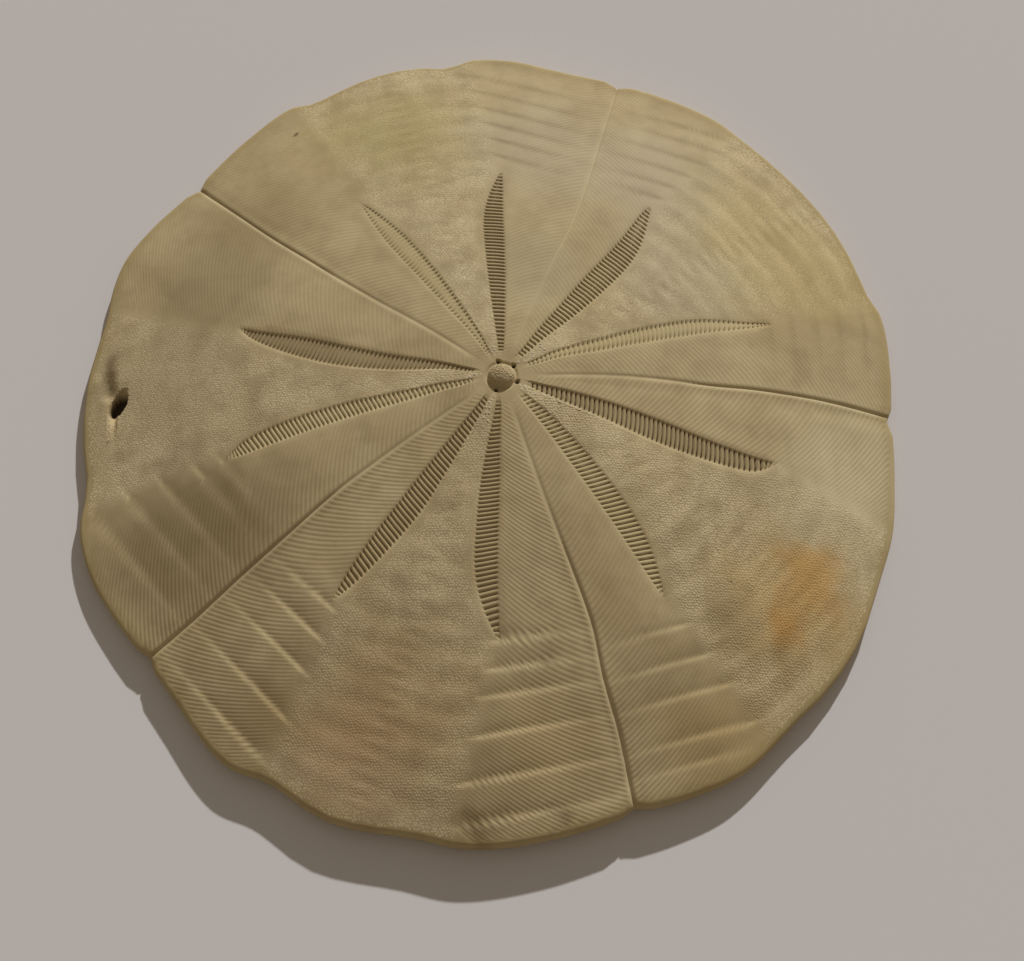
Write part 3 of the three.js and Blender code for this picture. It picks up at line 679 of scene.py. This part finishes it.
def vent_oval(x, y):
    """1 on the vent's oval outline and in proportion inside and outside it."""
    out, side = vent_offsets(x, y)
    turn = math.radians(VENT_TURN)
    along = -out * math.cos(turn) + side * math.sin(turn)
    across = out * math.sin(turn) + side * math.cos(turn)
    return np.hypot(along / VENT_HALF_LENGTH, across / VENT_HALF_WIDTH)


def vent_depth(x, y):
    """The vent: a steep drop inside an oval, with a shallow hollow that runs from it along the edge."""
    out, side = vent_offsets(x, y)
    drop = VENT_DEPTH * (1 - smoothstep(*VENT_WALL, vent_oval(x, y)))
    bend = out - VENT_TROUGH_OUT - VENT_TROUGH_BEND * side
    length = smoothstep(*VENT_TROUGH_START, side) * (1 - smoothstep(*VENT_TROUGH_END, side))
    return drop + VENT_TROUGH_DEPTH * np.exp(-((bend / VENT_TROUGH_WIDTH) ** 2)) * length


def button_relief(r, x, y):
    """The button is a high round cap in a shallow hollow; four small pits stand just outside it."""
    inside = np.clip(1 - (r / BUTTON_RADIUS) ** 2, 0, 1)
    lean = math.radians(BUTTON_LEAN)
    cap = (BUTTON_RISE + BUTTON_HOLLOW) * np.sqrt(inside)
    cap = cap + BUTTON_TILT * inside * (x * math.cos(lean) + y * math.sin(lean)) / BUTTON_RADIUS
    hollow = -BUTTON_HOLLOW * (1 - smoothstep(*BUTTON_HOLLOW_REACH, r))
    moat = -MOAT_DEPTH * np.exp(-(((r - BUTTON_RADIUS - MOAT_OFFSET) / MOAT_WIDTH) ** 2))
    pits = 0
    for pit_x, pit_y in pit_places():
        away = np.hypot(x - pit_x, y - pit_y)
        pits = pits + 1 - smoothstep(*GONOPORE_WALL, away / GONOPORE_RADIUS)
    return cap + hollow + moat - GONOPORE_DEPTH * pits, pits


def nudged(x, y):
    """Places by the button moved over a little, as the button stands off the middle of the petals."""
    near = 1 - smoothstep(*BUTTON_SHIFT_FADE, np.hypot(x, y))
    return x + BUTTON_SHIFT[0] * near, y + BUTTON_SHIFT[1] * near


def plain_surface(r, bearing, border, half, across, edge):
    """Height of the skin without its ridges, slits and furrows, and the masks that come with its forms."""
    x, y = flat_place(r, bearing)
    inwards = 1 - smoothstep(edge - EDGE_FADE, edge, r)
    button, pits = button_relief(r, x, y)
    plates = plate_wave(r, across, border)
    ledges = ledge_relief(r, bearing, border, half)
    vent = vent_depth(x, y)
    z = dome_height(r, bearing) + button - vent
    shown = PLATE_MEAN + PLATE_VARIES * np.cos(np.radians(bearing))
    waves = swell(x, y) * smoothstep(*SWELL_START, r) - PLATE_SWELL * shown * plates
    z += inwards * (ledges + comb_sink(r, border) + waves)
    pored = [share * BUTTON_RADIUS for share in BUTTON_PORES]
    masks = dict(
        # Painted shade: the pits and the deep part of the vent are painted near black
        pit=np.clip(pits + smoothstep(*VENT_TINT_DEPTHS, vent), 0, 1),
        # Silt and painted shade in the troughs before the ledges' lips
        seam=np.clip(-ledges / SEAM_TINT_DEPTH, 0, 1),
        # Dirt and painted shade in the hollows between the plates
        plate_dirt_and_shade=np.clip(plates, 0, 1),
        button=1 - smoothstep(*pored, r),
    )
    x, y = nudged(x, y)
    return x, y, z, masks


def top_rows(columns, marks, wave):
    """Rows of the upper surface on the given columns, with the ridges, the slits and the furrows cut in."""
    edge = column_edges(columns)
    r = np.minimum(row_radii(marks, columns), edge[None, :])
    values = {key: read_table(columns[key], r) for key in ("bearing", "comb", "slit", "trough", "border")}
    half = np.broadcast_to(columns["half"], r.shape)
    across = np.broadcast_to(columns["across"], r.shape)
    x, y, z, masks = plain_surface(r, values["bearing"], values["border"], half, across, edge)
    patterned = smoothstep(PATTERN_START, PATTERN_START + PATTERN_FADE, r)
    comb_wave, slit_wave = (np.array(values)[wave, None] for values in (COMB_WAVE, SLIT_WAVE))
    sides = [HALVES[int(i)][0][HALVES[int(i)][1]] for i in columns["half"]]
    settings = ("slot", "cut", "ridges", "sunk", "pale")
    open_slot, cut, ridges, sunk, pale = (np.array([side[key] for side in sides]) for key in settings)
    slot_share = 1 - columns["slot"] * (1 - open_slot)
    furrow = columns["groove"][None, :] * smoothstep(*FURROW_START, r)
    furrow = furrow * rising(FURROW_AT_BUTTON, FURROW_GROWTH, r)
    slits = values["slit"] * (slot_share * cut)[None, :] * slit_wave * patterned
    fading = (RIDGE_AT_FURROW - RIDGE_DROP * np.clip(values["border"], 0, 1) ** 2) * ridges[None, :]
    z += RIDGE_HEIGHT * fading * values["comb"] * comb_wave * patterned
    z -= SLIT_DEPTH * slits + sunk[None, :] * values["trough"] + FURROW_DEPTH * furrow
    masks.update(
        # Painted shade in the grooves between the comb's ridges
        groove=values["comb"] * patterned * np.clip(-comb_wave, 0, 1) * ridges[None, :],
        # Painted shade: the slits are painted dark for the shade down in them
        slit=np.clip(slits, 0, 1),
        # Painted highlight along the furrows
        furrow=np.clip(np.abs(furrow) * FURROW_TINT_SHARE, 0, 1),
        bleached=values["trough"] * pale[None, :],
        # Painted shade in the sunken pore strips where their bars are not bleached
        dusty=values["trough"] * (1 - pale[None, :]),
        rim=smoothstep(edge - RIM_TINT_WIDTH, edge, r),
    )
    return dict(x=x, y=y, z=z, r=r, masks=masks, edge=edge, place=columns["place"])


def column_edges(columns):
    """Where each column reaches the edge's shoulder: its line and the margin are solved for each other."""
    r = np.full((1, len(columns["half"])), EDGE_GUESS)
    for _ in range(EDGE_ROUNDS):
        r = edge_radius(read_table(columns["bearing"], r))
    return r[0] - SHOULDER_INSET


def edge_grid(columns, edge):
    """The rounded edge, half a turn from the shoulder down to the heel on the floor.

    Its distance follows the sine of the turn, and its height a power of 1 plus the cosine.
    """
    start = math.radians(EDGE_START)
    turn = np.radians(np.linspace(EDGE_START, 180, EDGE_ROWS))[:, None]
    top = edge[None, :] + SHOULDER_INSET
    r = top - SHOULDER_INSET * (1 - np.sin(turn)) / (1 - math.sin(start))
    r = np.where(turn > math.pi / 2, top - HEEL_INSET * (1 - np.sin(turn)), r)
    bearing = read_table(columns["bearing"], r)
    thick = edge_thickness(bearing)
    z = thick * ((np.cos(turn) + 1) / (math.cos(start) + 1)) ** EDGE_OVERHANG
    notch = columns["groove"][None, :]
    low, high = np.sin(turn / 2) ** FOOD_GROOVE_EASE, np.cos(turn / 2)
    z = z + notch * (FOOD_GROOVE_DEPTH * low - FURROW_DEPTH * high)
    x, y = flat_place(r, bearing)
    return dict(x=x, y=y, z=z)


def underside_grid(columns, edge):
    """The underside: a flat band, then a slight hollow, five food grooves and the mouth in the middle."""
    heel = edge + SHOULDER_INSET - HEEL_INSET
    share = np.linspace(0, 1, UNDERSIDE_ROWS + 1)[1:-1, None] ** UNDERSIDE_SPACING
    r = heel[None, :] * (1 - share)
    bearing = read_table(columns["bearing"], r)
    band = heel[None, :] + HEEL_INSET - REST_INNER_INSET
    hollow = UNDERSIDE_HOLLOW * np.clip(1 - (r / band) ** 2, 0, 1)
    nearest = np.full(r.shape, FAR_OUT)
    for ambulacrum in AMBULACRA:
        away = np.mod(bearing - furrow_line(ambulacrum, r) + 180, 360) - 180
        nearest = np.minimum(nearest, np.abs(np.radians(away)) * r)
    groove = FOOD_GROOVE_DEPTH * np.exp(-((nearest / FOOD_GROOVE_HALF_WIDTH) ** 2))
    groove = groove * smoothstep(*FOOD_GROOVE_START, r)
    mouth = MOUTH_DEPTH * (1 - smoothstep(*MOUTH_WALL, r / MOUTH_RADIUS))
    x, y = flat_place(r, bearing)
    # Painted shade in the mouth and, more faintly, in the food grooves
    mouth_and_groove_shade = np.clip(mouth / MOUTH_DEPTH + FOOD_GROOVE_TINT * (groove / FOOD_GROOVE_DEPTH), 0, 1)
    return dict(x=x, y=y, z=hollow + groove + mouth, mouth_and_groove_shade=mouth_and_groove_shade)


def grid_faces(rows):
    """Triangles of a closed ring grid of vertex numbers; those with a doubled corner are dropped."""
    a, b = rows[:-1], rows[1:]
    a_next, b_next = np.roll(a, -1, axis=1), np.roll(b, -1, axis=1)
    first = np.stack([a, b, b_next], axis=-1).reshape(-1, 3)
    second = np.stack([a, b_next, a_next], axis=-1).reshape(-1, 3)
    faces = np.concatenate([first, second])
    distinct = np.all(faces != np.roll(faces, -1, axis=1), axis=1)
    return faces[distinct]


def zip_faces(upper, upper_place, lower, lower_place, total):
    """Triangles between two closed rows that hold different columns; both start at column 0 of total."""
    a, b = np.append(upper, upper[0]), np.append(lower, lower[0])
    at_a, at_b = np.append(upper_place, total), np.append(lower_place, total)
    over = np.searchsorted(at_b[1:], at_a[1:], side="left")
    under = np.searchsorted(at_a[1:], at_b[1:], side="right")
    along_a = np.stack([a[:-1], b[over], a[1:]], axis=-1)
    along_b = np.stack([a[under], b[:-1], b[1:]], axis=-1)
    return np.concatenate([along_a, along_b])


def fan_faces(pole, row, outwards):
    """Triangles between a pole and a closed row round it."""
    following = np.roll(row, -1)
    ends = (row, following) if outwards else (following, row)
    return np.stack([np.full(len(row), pole), *ends], axis=-1)


def new_object(name, data):
    """An object of that data, linked into the scene."""
    made = bpy.data.objects.new(name, data)
    bpy.context.collection.objects.link(made)
    return made


def mesh_object(name, points, faces, masks, smooth):
    """A mesh object at the origin from points in millimetres, with one float attribute for each mask."""
    mesh = bpy.data.meshes.new(name)
    mesh.vertices.add(len(points))
    mesh.vertices.foreach_set("co", (points * MM).astype(np.float32).ravel())
    mesh.loops.add(faces.size)
    mesh.loops.foreach_set("vertex_index", faces.astype(np.int32).ravel())
    mesh.polygons.add(len(faces))
    mesh.polygons.foreach_set("loop_start", np.arange(0, faces.size, 3, dtype=np.int32))
    mesh.polygons.foreach_set("use_smooth", np.full(len(faces), smooth))
    for key, values in masks.items():
        layer = mesh.attributes.new(key, "FLOAT", "POINT")
        layer.data.foreach_set("value", values.astype(np.float32))
    mesh.update(calc_edges=True)
    mesh.validate()
    return new_object(name, mesh)


def shell_middle():
    """The middle of the outline's box, seen from the button: the frame's origin lies under it."""
    bearing = np.linspace(0, 360, 3600, endpoint=False)
    r = edge_radius(bearing)
    x, y = flat_place(r, bearing)
    return np.array([(x.min() + x.max()) / 2, (y.min() + y.max()) / 2, 0.0])


def fit_to_frame(points):
    """Points moved from the button's frame to the part's, and kept within the solid's box."""
    low, high = (np.array(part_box("sand_dollar_test")[i]) / MM for i in (0, 1))
    return np.clip(points - shell_middle(), low, high)


def numbered(start, shape):
    """Vertex numbers from start in an array of that shape."""
    return start + np.arange(shape[0] * shape[1]).reshape(shape)


def shell_skin():
    """The shell as one closed mesh: button, petals, outer rows, rounded edge and underside, zipped together.

    An outer row stops where it meets the edge: its vertices past there are the edge's first ones.
    """
    columns, chosen = all_columns()
    total = len(columns["half"])
    marks, wave = row_marks()
    petal_row = np.searchsorted(marks, PETAL_END)
    coarse, petal = pick(columns, chosen["coarse"]), pick(columns, chosen["petal"])
    button = top_rows(coarse, marks[:BUTTON_ROWS], wave[:BUTTON_ROWS])
    petals = top_rows(petal, marks[BUTTON_ROWS:petal_row], wave[BUTTON_ROWS:petal_row])
    outer = top_rows(columns, marks[petal_row:], wave[petal_row:])
    rim = edge_grid(columns, outer["edge"])
    under = underside_grid(coarse, button["edge"])

    inside = outer["r"] < outer["edge"][None, :] - EDGE_GAP
    button_index = numbered(0, button["x"].shape)
    petals_index = numbered(button_index[-1, -1] + 1, petals["x"].shape)
    outer_start = petals_index[-1, -1] + 1
    rim_index = numbered(outer_start + int(inside.sum()), rim["x"].shape)
    kept = outer_start + np.cumsum(inside.ravel()).reshape(inside.shape) - 1
    outer_index = np.where(inside, kept, rim_index[0][None, :])
    under_index = numbered(rim_index[-1, -1] + 1, under["x"].shape)
    top_pole = under_index[-1, -1] + 1
    faces = np.concatenate([
        fan_faces(top_pole, button_index[0], True),
        grid_faces(button_index),
        zip_faces(button_index[-1], coarse["place"], petals_index[0], petal["place"], total),
        grid_faces(petals_index),
        zip_faces(petals_index[-1], petal["place"], outer_index[0], columns["place"], total),
        grid_faces(np.concatenate([outer_index, rim_index])),
        zip_faces(rim_index[-1], columns["place"], under_index[0], coarse["place"], total),
        grid_faces(under_index),
        fan_faces(top_pole + 1, under_index[-1], False),
    ])
    poles = np.array([(*BUTTON_SHIFT, APEX_HEIGHT + BUTTON_RISE), (0, 0, UNDERSIDE_HOLLOW + MOUTH_DEPTH)])
    parts = []
    for zone in (button, petals, outer, rim, under):
        used = inside if zone is outer else np.full(zone["x"].shape, True)
        parts.append(np.stack([zone[axis][used] for axis in "xyz"], axis=-1))
    points = np.concatenate(parts + [poles])
    rest = rim["x"].size + under["x"].size + len(poles)
    masks = {}
    for key in button["masks"]:
        tops = [button["masks"][key].ravel(), petals["masks"][key].ravel(), outer["masks"][key][inside]]
        masks[key] = np.concatenate(tops + [np.zeros(rest)])
    masks["rim"][rim_index[0, 0]:under_index[0, 0]] = 1.0
    # The underside's painted shade goes into the same mask as the pits
    masks["pit"][under_index[0, 0]:top_pole] = under["mouth_and_groove_shade"].ravel()
    return mesh_object("sand_dollar_skin", fit_to_frame(points), faces, masks, smooth=True)


def knob_points(k, rng):
    """Places of one area's knobs, on a jittered triangular lattice, and their distances from its borders."""
    after, before = 2 * k + 1, (2 * k + 2) % len(HALVES)
    turn = 360 if k == len(AMBULACRA) - 1 else 0
    count = int(2 * KNOB_FIELD / KNOB_SPACING)
    i, j = np.meshgrid(np.arange(count), np.arange(int(count / KNOB_ROW_SHARE)))
    x = (i + 0.5 * (j % 2)).ravel() * KNOB_SPACING - KNOB_FIELD
    y = j.ravel() * KNOB_SPACING * KNOB_ROW_SHARE - KNOB_FIELD
    x = x + rng.uniform(-KNOB_JITTER, KNOB_JITTER, x.size) * KNOB_SPACING
    y = y + rng.uniform(-KNOB_JITTER, KNOB_JITTER, y.size) * KNOB_SPACING
    r = np.hypot(x, y)
    left, right = (border_bearing(half, r) for half in (after, before))
    right = right + turn
    bearing = left + np.mod(np.degrees(np.arctan2(y, x)) - left, 360)
    room = np.radians(np.minimum(bearing - left, right - bearing)) * r
    keep = (room > KNOB_BORDER_ROOM) & (vent_oval(x, y) > KNOB_VENT_ROOM)
    keep &= (r > KNOB_BUTTON_ROOM) & (r < edge_radius(bearing) - KNOB_EDGE_ROOM)
    for pit_x, pit_y in pit_places():
        keep &= np.hypot(x - pit_x, y - pit_y) > KNOB_PIT_ROOM
    return x[keep], y[keep], room[keep]


def border_bearing(index, r):
    """Bearing of the outer border of a half ambulacrum at each radius."""
    ambulacrum, side = HALVES[index]
    return np.interp(r, STATIONS, strip_line(ambulacrum, ambulacrum[side], "outer"))


def skin_tree(skin):
    """The skin's triangles, in millimetres, as a tree that rays can be cast on."""
    points = [vertex.co / MM for vertex in skin.data.vertices]
    return BVHTree.FromPolygons(points, [tuple(polygon.vertices) for polygon in skin.data.polygons])


def on_skin(tree, x, y):
    """Height of the skin and its two slopes at each place of the button's frame."""
    middle = shell_middle()
    high = APEX_HEIGHT + RAY_HEADROOM
    hits = [tree.ray_cast((a, b, high), (0, 0, -1)) for a, b in zip(x - middle[0], y - middle[1])]
    z = np.array([place.z for place, *_ in hits])
    normals = np.array([normal for _, normal, *_ in hits])
    return z, -normals[:, 0] / normals[:, 2], -normals[:, 1] / normals[:, 2]


def knobs(k, tree):
    """The close-set knobs of one interambulacrum as one mesh: low five-sided caps with a point below."""
    rng = np.random.default_rng(KNOB_SEED + k)
    x, y, room = knob_points(k, rng)
    r = np.hypot(x, y)
    near = 1 - smoothstep(*GLASSY_REACH, r)
    glassy = rng.uniform(0, 1, x.size) < GLASSY_SHARE * near
    by_button = KNOB_NEAR_BUTTON - KNOB_BUTTON_DROP * smoothstep(*KNOB_BUTTON_FADE, r)
    fade = np.maximum(rising(KNOB_AT_BORDER, KNOB_BORDER_FADE, room), by_button)
    from_edge = edge_radius(np.degrees(np.arctan2(y, x))) - r
    low = KNOB_AREA_SHARES[k] * rising(KNOB_AT_EDGE, KNOB_EDGE_FADE, from_edge)
    size = rng.uniform(*KNOB_SIZES, x.size) * np.where(glassy, GLASSY_SIZE, fade)
    x, y = nudged(x, y)
    z, slope_x, slope_y = on_skin(tree, x, y)
    turn = rng.uniform(0, 2 * np.pi, x.size)
    angle = turn[:, None] + np.arange(KNOB_SIDES)[None, :] * 2 * np.pi / KNOB_SIDES
    dx = KNOB_RADIUS * size[:, None] * np.cos(angle)
    dy = KNOB_RADIUS * size[:, None] * np.sin(angle)
    foot = z[:, None] + slope_x[:, None] * dx + slope_y[:, None] * dy
    ring = np.stack([x[:, None] + dx, y[:, None] + dy, foot], axis=-1)
    rise = KNOB_HEIGHT * rng.uniform(*KNOB_RISES, x.size) * np.where(glassy, GLASSY_RISE, fade * low)
    tip = np.stack([x, y, z + rise], axis=-1)[:, None]
    root = np.stack([x, y, z - KNOB_SINK], axis=-1)[:, None]
    points = np.concatenate([tip, ring, root], axis=1).reshape(-1, 3)
    one = []
    for side in range(KNOB_SIDES):
        here, following = 1 + side, 1 + (side + 1) % KNOB_SIDES
        one += [(0, here, following), (KNOB_SIDES + 1, following, here)]
    corners = KNOB_SIDES + 2
    faces = (np.array(one)[None] + (np.arange(x.size) * corners)[:, None, None]).reshape(-1, 3)
    masks = dict(glassy=np.repeat(glassy.astype(float), corners))
    return mesh_object("tubercles_" + AMBULACRA[k]["name"], fit_to_frame(points), faces, masks, smooth=False)


def srgb(code):
    """A hex colour as linear red, green, blue and alpha."""
    parts = [int(code[i:i + 2], 16) / 255 for i in (1, 3, 5)]
    return tuple(p / 12.92 if p <= 0.04045 else ((p + 0.055) / 1.055) ** 2.4 for p in parts) + (1.0,)


def per_mm(size):
    """The scale of a texture on Object coordinates, in metres, whose features are size millimetres apart."""
    return 1000.0 / size


def add(tree, kind, inputs=None, **settings):
    """A node with its settings; each input is given a value, or a link where it is another node's output."""
    node = tree.nodes.new("ShaderNode" + kind)
    for key, value in settings.items():
        setattr(node, key, value)
    for key, value in (inputs or {}).items():
        if isinstance(value, bpy.types.NodeSocket):
            tree.links.new(value, node.inputs[key])
        else:
            node.inputs[key].default_value = value
    return node


def body_tones(tree, place, grained):
    """Layers of the body's own colour: a broad mottling of a lighter tone of bone, and patches of silt."""
    tones = ((1.0, "#E2D2AB"), (0.5, "#9A8661")) if grained else ((1.0, "#D2C096"), (0.35, "#9A8661"))
    layers = []
    for (size, detail, roughness, gain, base), tone in zip(BODY_PATTERNS, tones):
        noise = add(tree, "TexNoise", {
            "Vector": place, "Scale": per_mm(size), "Detail": detail, "Roughness": roughness,
        }).outputs[0]
        spread = add(tree, "Math", {0: noise, 1: gain, 2: base}, operation="MULTIPLY_ADD", use_clamp=True)
        layers.append((spread.outputs[0], *tone))
    return layers


def stain_and_shade_layers(tree, place):
    """Layers of round soft-edged stains, whose outlines a warp of a few millimetres breaks up."""
    warp = add(tree, "TexNoise", {
        "Vector": place, "Scale": per_mm(STAIN_AND_SHADE_PUSH_SIZE), "Detail": 3.0,
    }).outputs["Color"]
    pushed = add(tree, "VectorMath", {0: warp, 1: (0.5, 0.5, 0.5)}, operation="SUBTRACT").outputs[0]
    pushed = add(tree, "VectorMath", {0: pushed, 3: STAIN_AND_SHADE_PUSH * MM}, operation="SCALE").outputs[0]
    warped = add(tree, "VectorMath", {0: place, 1: pushed}, operation="ADD").outputs[0]
    flat = add(tree, "VectorMath", {0: warped, 1: (1, 1, 0)}, operation="MULTIPLY").outputs[0]
    middle = Vector(shell_middle())
    layers = []
    # Besides the stains, two of these patches are painted shade beside the vent.
    for code, bearing, distance, radius, strength in STAINS_AND_SHADE:
        angle = math.radians(bearing)
        spot = Vector((distance * math.cos(angle), distance * math.sin(angle), 0)) - middle
        away = add(tree, "VectorMath", {0: flat, 1: spot * MM}, operation="DISTANCE")
        near, far = (share * radius * MM for share in STAIN_AND_SHADE_EDGE)
        shown = add(tree, "MapRange", {
            "Value": away.outputs["Value"], "From Min": near, "From Max": far, "To Min": 1.0, "To Max": 0.0,
        }, interpolation_type="SMOOTHSTEP").outputs[0]
        layers.append((shown, strength, code))
    return layers


def form_tints(tree, place, grained):
    """Layers that follow the piece's own forms: paler glassy knobs, or a fine grain and the skin's masks."""
    tints = [("glassy", 0.4, "#DAD2BC")] if grained else MASK_TINTS
    layers = []
    if not grained:
        fine = add(tree, "TexNoise", {"Vector": place, "Scale": per_mm(GRAIN_SIZE), "Detail": 3.0})
        layers.append((fine.outputs[0], 0.25, "#AC966A"))
    # Most of the skin's masks are painted light: shade in its slits, pits and hollows, and a highlight along
    # its furrows
    for name, strength, code in tints:
        mask = add(tree, "Attribute", attribute_name=name).outputs["Fac"]
        layers.append((mask, strength, code))
    return layers


def calcite_bump(tree, place, grained):
    """The open weave of the calcite, and on the skin the coarser pores of the button, as a normal."""
    cells = add(tree, "TexVoronoi", {"Vector": place, "Scale": per_mm(WEAVE_SIZE)})
    weave = add(tree, "Bump", {
        "Height": cells.outputs["Distance"], "Strength": 0.35, "Distance": WEAVE_DEPTH * MM,
    }).outputs[0]
    if grained:
        return weave
    pores = add(tree, "TexVoronoi", {"Vector": place, "Scale": per_mm(PORE_SIZE)})
    mask = add(tree, "Attribute", attribute_name="button").outputs["Fac"]
    raised = add(tree, "Math", {0: pores.outputs["Distance"], 1: mask}, operation="MULTIPLY")
    return add(tree, "Bump", {
        "Height": raised.outputs[0], "Strength": 1.0, "Distance": PORE_DEPTH * MM, "Normal": weave,
    }).outputs[0]


def calcite_material(grained=False):
    """Bare calcite of a cleaned and dried test: matt, chalky and fine-grained, stained with sand and silt.

    Layers of colour lie over a base tone in order, each by a share that is a pattern times a strength. On the
    skin some layers are painted shade in its slits, pits and hollows and a painted highlight along its
    furrows.
    """
    material = bpy.data.materials.new("dried calcite knobs" if grained else "dried calcite test")
    material.use_nodes = True
    tree = material.node_tree
    tree.nodes.clear()
    place = add(tree, "TexCoord").outputs["Object"]
    layers = body_tones(tree, place, grained) + stain_and_shade_layers(tree, place) + form_tints(tree, place, grained)
    colour = srgb("#CBB68D" if grained else "#BCA67C")
    for pattern, strength, code in layers:
        share = add(tree, "Math", {0: pattern, 1: strength}, operation="MULTIPLY").outputs[0]
        mixed = add(tree, "Mix", {0: share, 6: colour, 7: srgb(code)}, data_type="RGBA")
        colour = mixed.outputs[2]
    shader = add(tree, "BsdfPrincipled", {
        "Base Color": colour, "Roughness": 0.85, "IOR": 1.5, "Specular IOR Level": 0.25,
        "Normal": calcite_bump(tree, place, grained),
    })
    add(tree, "OutputMaterial", {"Surface": shader.outputs[0]})
    return material


def floor():
    """A plain pale floor, wide enough to fill the photograph's view."""
    half = FLOOR_HALF
    corners = [(-half, -half, 0), (half, -half, 0), (half, half, 0), (-half, half, 0)]
    mesh = bpy.data.meshes.new("floor")
    mesh.from_pydata(corners, [], [(0, 1, 2, 3)])
    material = bpy.data.materials.new("matt paper")
    material.use_nodes = True
    shader = material.node_tree.nodes["Principled BSDF"]
    shader.inputs["Base Color"].default_value = srgb("#DEDAD9")
    shader.inputs["Roughness"].default_value = 0.9
    mesh.materials.append(material)
    new_object("floor", mesh)


def camera():
    """The photograph's camera, about 17 cm away and 26 degrees off the vertical."""
    data = bpy.data.cameras.new("camera")
    data.lens = CAMERA_LENS
    data.sensor_width = SENSOR_WIDTH
    data.clip_start = 0.01
    made = new_object("camera", data)
    middle = Vector(shell_middle())
    eye, target = (Vector(p) - middle for p in (CAMERA_EYE, CAMERA_TARGET))
    made.location = eye * MM
    made.rotation_euler = (target - eye).to_track_quat("-Z", "Y").to_euler()
    bpy.context.scene.camera = made


def lights():
    """A low soft sun from the upper right of the picture, and an even pale sky that fills the shadows."""
    bearing, height = math.radians(SUN_BEARING), math.radians(SUN_HEIGHT)
    data = bpy.data.lights.new("key", "SUN")
    data.energy = SUN_STRENGTH
    data.angle = math.radians(SUN_WIDTH)
    data.color = srgb("#FFFFFF")[:3]
    key = new_object("key", data)
    level = math.cos(height)
    toward = Vector((math.cos(bearing) * level, math.sin(bearing) * level, math.sin(height)))
    key.rotation_euler = toward.to_track_quat("Z", "Y").to_euler()
    world = bpy.data.worlds.new("sky")
    world.use_nodes = True
    sky = world.node_tree.nodes["Background"]
    sky.inputs["Color"].default_value = srgb("#FFEFDA")
    sky.inputs["Strength"].default_value = SKY_STRENGTH
    bpy.context.scene.world = world
    bpy.context.scene.view_settings.view_transform = "Standard"


floor()
camera()
lights()
skin = shell_skin()
skin.data.materials.append(calcite_material())
tree = skin_tree(skin)
pieces = [skin] + [knobs(k, tree) for k in range(len(AMBULACRA))]
knob_material = calcite_material(grained=True)
for piece in pieces[1:]:
    piece.data.materials.append(knob_material)
for piece in pieces:
    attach(piece, "root")
    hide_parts("sand_dollar_test")
    print("triangles", piece.name, len(piece.data.polygons))
